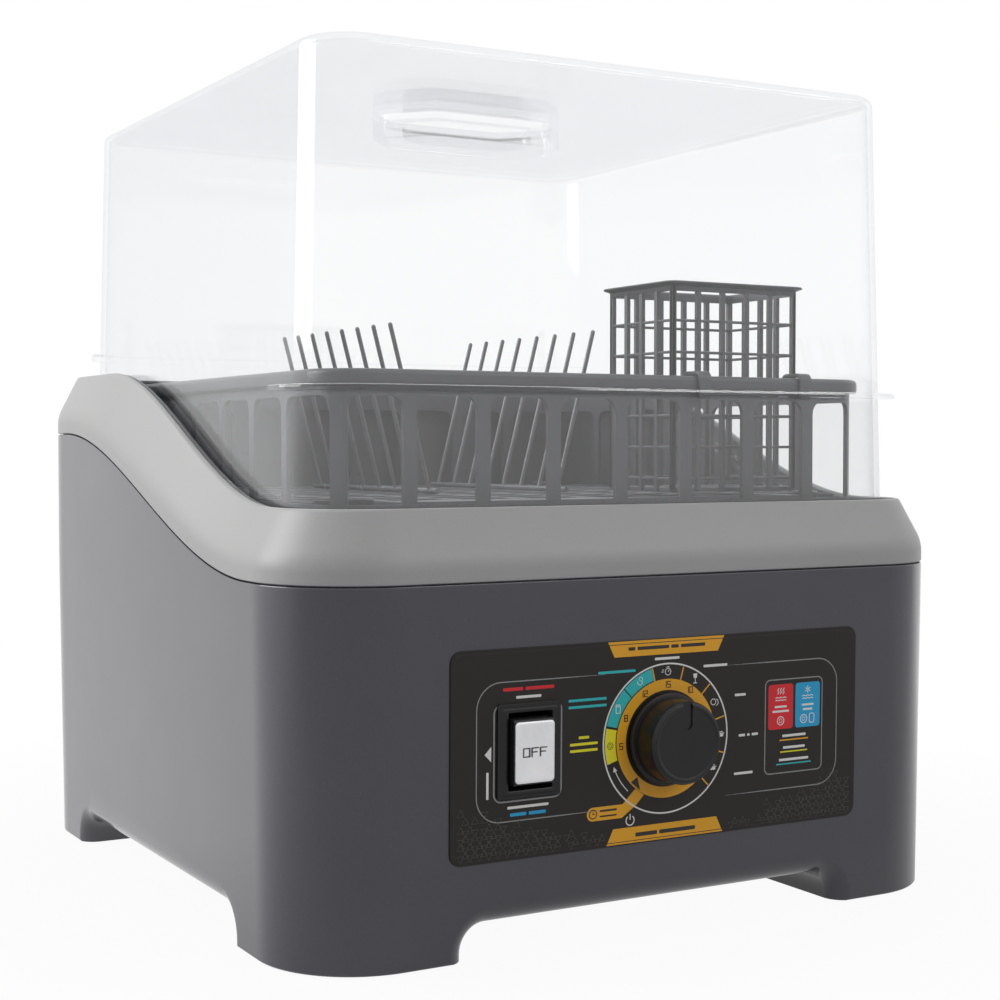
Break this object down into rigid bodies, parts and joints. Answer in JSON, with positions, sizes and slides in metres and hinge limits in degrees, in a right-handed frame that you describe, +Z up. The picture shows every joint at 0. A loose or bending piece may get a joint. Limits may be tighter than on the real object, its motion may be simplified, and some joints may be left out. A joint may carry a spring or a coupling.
{
  "type": "countertop dishwasher",
  "caption": "Compact countertop dishwasher: dark casing on corner feet, silver trim ring, clear lift-off lid over a plate rack and cutlery basket, timer knob and rocker switch.",
  "frame": {"origin": "on the ground under the middle of the footprint", "axes": "+X to the right seen from the front, +Y to the back, +Z up; the control panel faces -Y"},
  "size_m": [0.4, 0.467, 0.441],
  "materials": {
    "casing": "semi-gloss dark grey with fine flake",
    "trim": "satin silver grey",
    "tub": "moulded dark grey",
    "rubber": "matt rubber",
    "steel": "zinc plated",
    "clear": "clear moulded plastic",
    "rack": "dark grey moulded",
    "coated_wire": "plastic-coated wire",
    "wet_plastic": "mid grey moulded",
    "natural_plastic": "natural moulded",
    "aluminium": "cast",
    "copper": "lacquered copper windings on a steel stack",
    "blue_plastic": "moulded blue",
    "black_plastic": "black moulded",
    "brass_tabs": "stamped brass",
    "printed_film": "printed film",
    "wire_red": "insulated wire"
  },
  "bodies": {
    "base": {"housing": "casing", "casing_floor": "casing", "casing_corners": "casing", "trim_ring": "trim", "tub": "tub", "bottom_cover": "tub", "foot_pads": "rubber", "casing_screws": "steel", "lid_seal": "rubber", "spray_column": "wet_plastic", "spray_cap": "wet_plastic", "thrust_washer": "natural_plastic", "sump": "tub", "sump_seal": "rubber", "wash_pump_housing": "wet_plastic", "shaft_seal": "rubber", "pump_bearings": "steel", "motor_can": "aluminium", "motor_stator": "copper", "suction_pipe": "rubber", "drain_pump_body": "wet_plastic", "drain_hose": "rubber", "drain_spigot": "wet_plastic", "inlet_valve": "natural_plastic", "valve_coil": "blue_plastic", "inlet_hose": "natural_plastic", "fill_port": "wet_plastic", "hose_clamps": "steel", "heater_element": "steel", "heater_clips": "steel", "thermostat": "natural_plastic", "float_switch": "black_plastic", "timer_body": "natural_plastic", "rocker_frame": "black_plastic", "switch_terminals": "brass_tabs", "control_panel": "printed_film", "terminal_block": "natural_plastic", "wiring_harness": "wire_red", "run_capacitor": "aluminium", "cord_gland": "black_plastic"},
    "lid": {"lid": "clear"},
    "rack": {"plate_rack": "rack", "rack_walls": "rack", "rack_grid": "rack", "plate_tines": "coated_wire"},
    "basket": {"cutlery_basket": "rack", "basket_walls": "rack", "basket_grid": "rack"},
    "spray": {"spray_arm": "wet_plastic"},
    "filter": {"filter_basket": "steel"},
    "wash_rotor": {"pump_shaft": "steel", "pump_impeller": "natural_plastic", "motor_rotor": "steel", "motor_fan": "natural_plastic"},
    "drain_rotor": {"drain_pump_impeller": "natural_plastic"},
    "float": {"level_float": "natural_plastic"},
    "knob": {"timer_knob": "black_plastic", "timer_shaft": "steel"},
    "rocker": {"rocker_button": "black_plastic", "rocker_plate": "steel"}
  },
  "joints": [
    {"name": "lid_lift", "type": "slide", "parent": "base", "child": "lid", "axis": [0, 0, 1], "range_m": [0, 0.45]},
    {"name": "rack_lift", "type": "slide", "parent": "base", "child": "rack", "axis": [0, 0, 1], "range_m": [0, 0.2025]},
    {"name": "basket_lift", "type": "slide", "parent": "rack", "child": "basket", "axis": [0, 0, 1], "range_m": [0, 0.135]},
    {"name": "spray_arm_spin", "type": "hinge", "parent": "base", "child": "spray", "pos_m": [0, -0.0065, 0.19], "axis": [0, 0, 1], "continuous": true},
    {"name": "filter_turn", "type": "hinge", "parent": "base", "child": "filter", "pos_m": [0.078, -0.07, 0.166], "axis": [0, 0, 1], "range_deg": [0, 60]},
    {"name": "wash_pump_spin", "type": "hinge", "parent": "base", "child": "wash_rotor", "pos_m": [0, -0.0065, 0.1], "axis": [0, 0, 1], "continuous": true},
    {"name": "drain_pump_spin", "type": "hinge", "parent": "base", "child": "drain_rotor", "pos_m": [0.14, -0.07, 0.134], "axis": [1, 0, 0], "continuous": true},
    {"name": "float_rise", "type": "slide", "parent": "base", "child": "float", "axis": [0, 0, 1], "range_m": [0, 0.01]},
    {"name": "timer_knob_turn", "type": "hinge", "parent": "base", "child": "knob", "pos_m": [0, -0.22, 0.099], "axis": [0, 1, 0], "range_deg": [-143, 118]},
    {"name": "rocker_tilt", "type": "hinge", "parent": "base", "child": "rocker", "pos_m": [-0.0805, -0.20951, 0.10006], "axis": [1, 0, 0], "range_deg": [-10, 10]}
  ],
  "couplings": [
    {"joint": "rack_lift", "follows": "lid_lift", "ratio": 0.45},
    {"joint": "basket_lift", "follows": "lid_lift", "ratio": 0.3}
  ]
}
